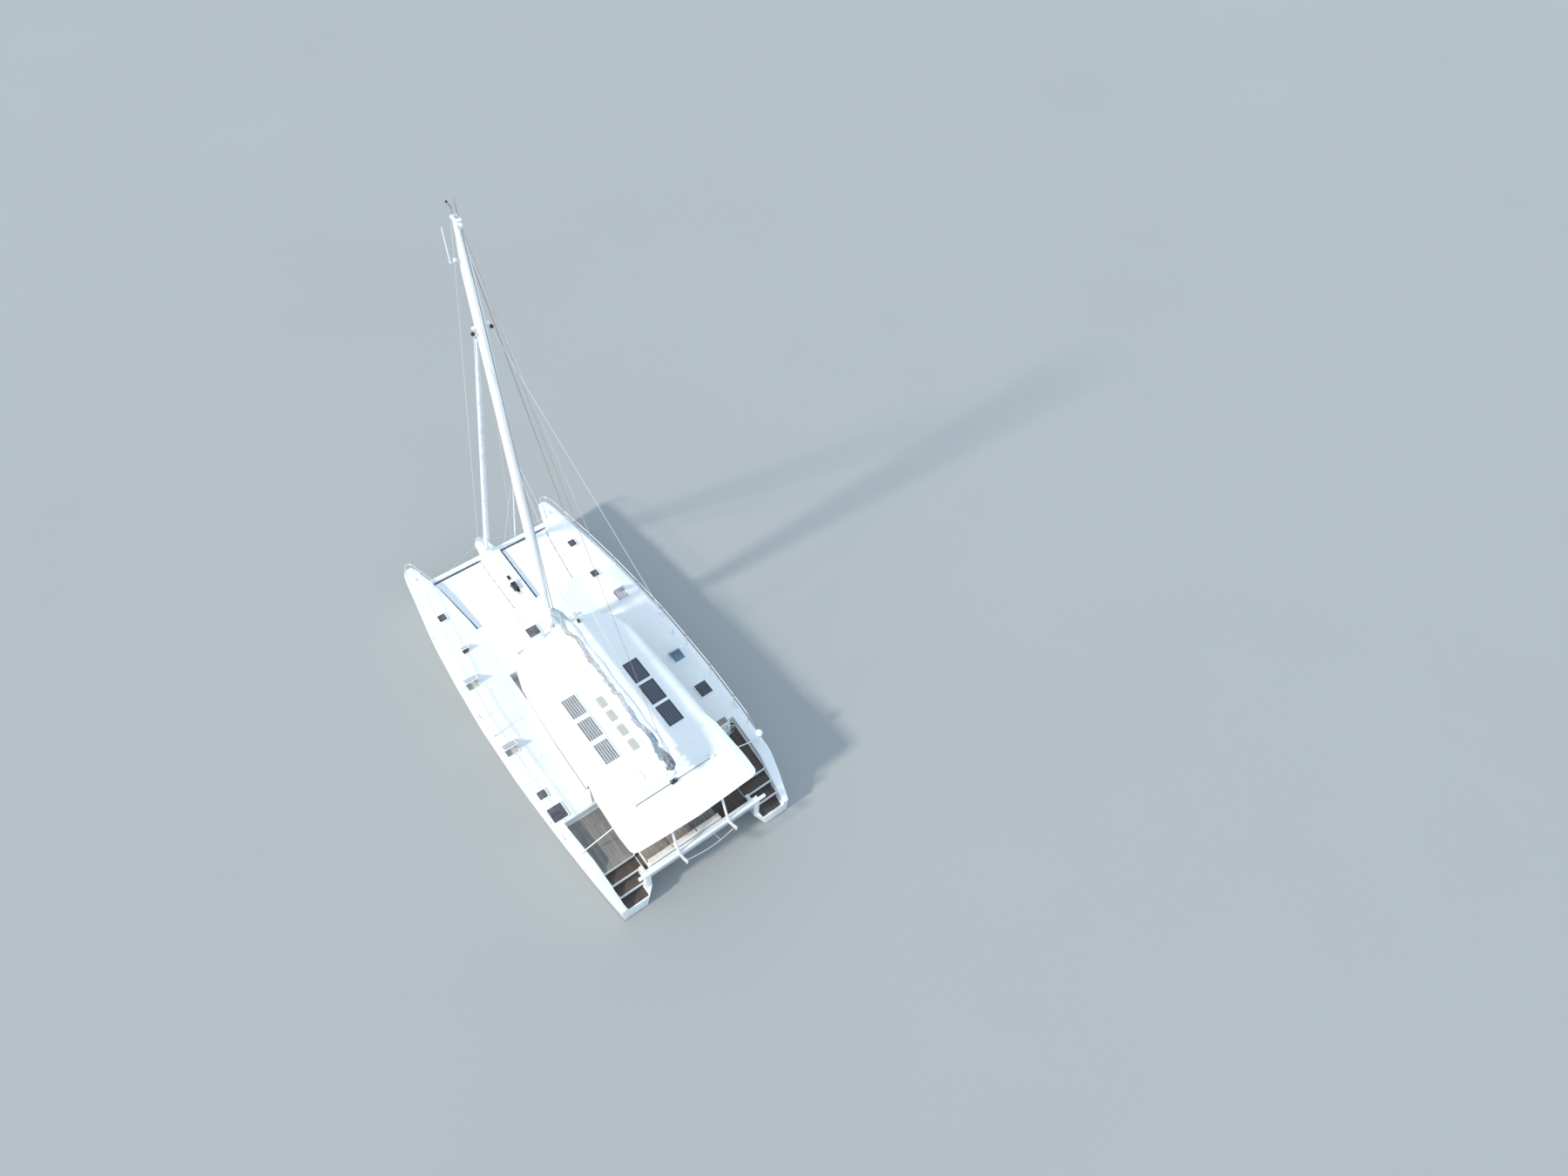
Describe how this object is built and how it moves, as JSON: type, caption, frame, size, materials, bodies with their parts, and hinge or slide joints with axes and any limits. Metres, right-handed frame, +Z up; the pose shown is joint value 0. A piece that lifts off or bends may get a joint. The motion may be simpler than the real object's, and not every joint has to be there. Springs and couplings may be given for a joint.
{
  "type": "sailing catamaran",
  "caption": "Cruising sailing catamaran afloat: solid hulls, hollow saloon and cockpit, mast, boom with stowed sail, opening hatches, rudders and propellers.",
  "frame": {"origin": "on the waterline, amidships on the centreline between the hulls", "axes": "+X towards the bow, +Y to port, +Z up"},
  "size_m": [17.8481, 8.68, 23.18],
  "materials": {
    "gelcoat": "gloss",
    "teak": "oiled",
    "white_alloy": "semi-gloss",
    "stainless": "polished",
    "net": "woven",
    "sailcloth": "matte",
    "tinted_glass": "gloss",
    "hatch": "gloss",
    "skylight": "gloss",
    "solar": "gloss",
    "black_fitting": "matte",
    "cushion": "matte",
    "antifouling": "matte",
    "drive_grey": "satin",
    "bronze": "satin"
  },
  "bodies": {
    "boat": {"hull_port": "gelcoat", "hull_starboard": "gelcoat", "bridgedeck": "gelcoat", "cockpit_sole": "teak", "saloon_shell": "gelcoat", "saloon_glass": "tinted_glass", "saloon_settee": "cushion", "saloon_galley": "gelcoat", "cockpit_settee": "cushion", "cockpit_table": "gelcoat", "hardtop": "gelcoat", "aft_beam": "white_alloy", "davit_port": "white_alloy", "davit_starboard": "white_alloy", "davit_brace": "white_alloy", "crossbeam": "white_alloy", "bow_walkway": "gelcoat", "windlass": "stainless", "trampoline_port": "net", "trampoline_starboard": "net", "mast": "white_alloy", "genoa_furler": "stainless", "furled_genoa": "sailcloth", "staysail_roll": "sailcloth", "forestay_head": "stainless", "cap_shroud_port": "stainless", "cap_shroud_starboard": "stainless", "solar_array_port": "solar", "solar_array_starboard": "solar", "roof_skylights": "skylight", "sheet_track": "stainless", "guard_rail_port": "stainless", "guard_rail_starboard": "stainless", "helm_console": "gelcoat", "drive_leg_port": "drive_grey", "drive_leg_starboard": "drive_grey"},
    "boom_and_sail": {"boom": "white_alloy", "mainsail_stowed": "sailcloth", "sail_bag": "sailcloth"},
    "sliding_door": {"saloon_door": "white_alloy", "saloon_door_glass": "tinted_glass"},
    "traveller": {"sheet_car": "black_fitting"},
    "wheel": {"helm_wheel": "stainless"},
    "rudder_p": {"rudder_port": "antifouling"},
    "rudder_s": {"rudder_starboard": "antifouling"},
    "propeller_p": {"propeller_port": "bronze"},
    "propeller_s": {"propeller_starboard": "bronze"},
    "lid_port_1": {"hatch_port_1": "hatch"},
    "lid_port_2": {"hatch_port_2": "hatch"},
    "lid_port_3": {"hatch_port_3": "hatch"},
    "lid_port_4": {"hatch_port_4": "hatch"},
    "lid_port_5": {"hatch_port_5": "hatch"},
    "lid_port_6": {"hatch_port_6": "hatch"},
    "lid_starboard_1": {"hatch_starboard_1": "hatch"},
    "lid_starboard_2": {"hatch_starboard_2": "hatch"},
    "lid_starboard_3": {"hatch_starboard_3": "hatch"},
    "lid_starboard_4": {"hatch_starboard_4": "hatch"},
    "lid_starboard_5": {"hatch_starboard_5": "hatch"},
    "lid_foredeck_1": {"hatch_foredeck_1": "hatch"},
    "lid_foredeck_2": {"hatch_foredeck_2": "hatch"}
  },
  "joints": [
    {"name": "boom_swing", "type": "hinge", "parent": "boat", "child": "boom_and_sail", "pos_m": [1.88, 0, 4.25], "axis": [0, 0, 1], "range_deg": [-45, 45]},
    {"name": "door_slide", "type": "slide", "parent": "boat", "child": "sliding_door", "axis": [0, 1, 0], "range_m": [0, 0.9]},
    {"name": "traveller_slide", "type": "slide", "parent": "boat", "child": "traveller", "axis": [0, 1, 0], "range_m": [-1.5, 1.5]},
    {"name": "rudder_port_turn", "type": "hinge", "parent": "boat", "child": "rudder_p", "pos_m": [-7.55, 3.27, -0.45], "axis": [0, 0, 1], "range_deg": [-35, 35]},
    {"name": "rudder_starboard_turn", "type": "hinge", "parent": "boat", "child": "rudder_s", "pos_m": [-7.55, -3.27, -0.45], "axis": [0, 0, 1], "range_deg": [-35, 35]},
    {"name": "wheel_turn", "type": "hinge", "parent": "boat", "child": "wheel", "pos_m": [-5.61, -3.05, 2.26], "axis": [1, 0, 0], "range_deg": [-350, 350]},
    {"name": "propeller_port_spin", "type": "hinge", "parent": "boat", "child": "propeller_p", "pos_m": [-5.9, 3.27, -1.01], "axis": [1, 0, 0], "continuous": true},
    {"name": "propeller_starboard_spin", "type": "hinge", "parent": "boat", "child": "propeller_s", "pos_m": [-5.9, -3.27, -1.01], "axis": [1, 0, 0], "continuous": true},
    {"name": "lid_port_1_lift", "type": "hinge", "parent": "boat", "child": "lid_port_1", "pos_m": [5.89, 3.19, 2.0234], "axis": [0, 1, 0], "range_deg": [0, 90]},
    {"name": "lid_port_2_lift", "type": "hinge", "parent": "boat", "child": "lid_port_2", "pos_m": [3.94, 3.15, 1.9953], "axis": [0, 1, 0], "range_deg": [-38, 52]},
    {"name": "lid_port_3_lift", "type": "hinge", "parent": "boat", "child": "lid_port_3", "pos_m": [2.5, 3.68, 1.9953], "axis": [0, 1, 0], "range_deg": [-38, 52]},
    {"name": "lid_port_4_lift", "type": "hinge", "parent": "boat", "child": "lid_port_4", "pos_m": [-0.95, 3.87, 1.9953], "axis": [0, 1, 0], "range_deg": [-38, 52]},
    {"name": "lid_port_5_lift", "type": "hinge", "parent": "boat", "child": "lid_port_5", "pos_m": [-3.4, 3.86, 1.9953], "axis": [0, 1, 0], "range_deg": [0, 90]},
    {"name": "lid_port_6_lift", "type": "hinge", "parent": "boat", "child": "lid_port_6", "pos_m": [-4.22, 3.775, 1.9953], "axis": [0, 1, 0], "range_deg": [0, 90]},
    {"name": "lid_starboard_1_lift", "type": "hinge", "parent": "boat", "child": "lid_starboard_1", "pos_m": [6.2, -3.14, 2.0298], "axis": [0, 1, 0], "range_deg": [0, 90]},
    {"name": "lid_starboard_2_lift", "type": "hinge", "parent": "boat", "child": "lid_starboard_2", "pos_m": [4.25, -3.08, 1.9953], "axis": [0, 1, 0], "range_deg": [0, 90]},
    {"name": "lid_starboard_3_lift", "type": "hinge", "parent": "boat", "child": "lid_starboard_3", "pos_m": [2.78, -3.42, 1.9953], "axis": [0, 1, 0], "range_deg": [-60, 30]},
    {"name": "lid_starboard_4_lift", "type": "hinge", "parent": "boat", "child": "lid_starboard_4", "pos_m": [-1.14, -3.6, 1.9953], "axis": [0, 1, 0], "range_deg": [-60, 30]},
    {"name": "lid_starboard_5_lift", "type": "hinge", "parent": "boat", "child": "lid_starboard_5", "pos_m": [-3.02, -3.56, 1.9953], "axis": [0, 1, 0], "range_deg": [0, 90]},
    {"name": "lid_foredeck_1_lift", "type": "hinge", "parent": "boat", "child": "lid_foredeck_1", "pos_m": [3.24, 0.51, 1.9953], "axis": [0, 1, 0], "range_deg": [0, 90]},
    {"name": "lid_foredeck_2_lift", "type": "hinge", "parent": "boat", "child": "lid_foredeck_2", "pos_m": [2.42, 1.35, 1.9953], "axis": [0, 1, 0], "range_deg": [-38, 52]}
  ],
  "couplings": [
    {"joint": "rudder_starboard_turn", "follows": "rudder_port_turn", "ratio": 1},
    {"joint": "wheel_turn", "follows": "rudder_port_turn", "ratio": 10}
  ]
}
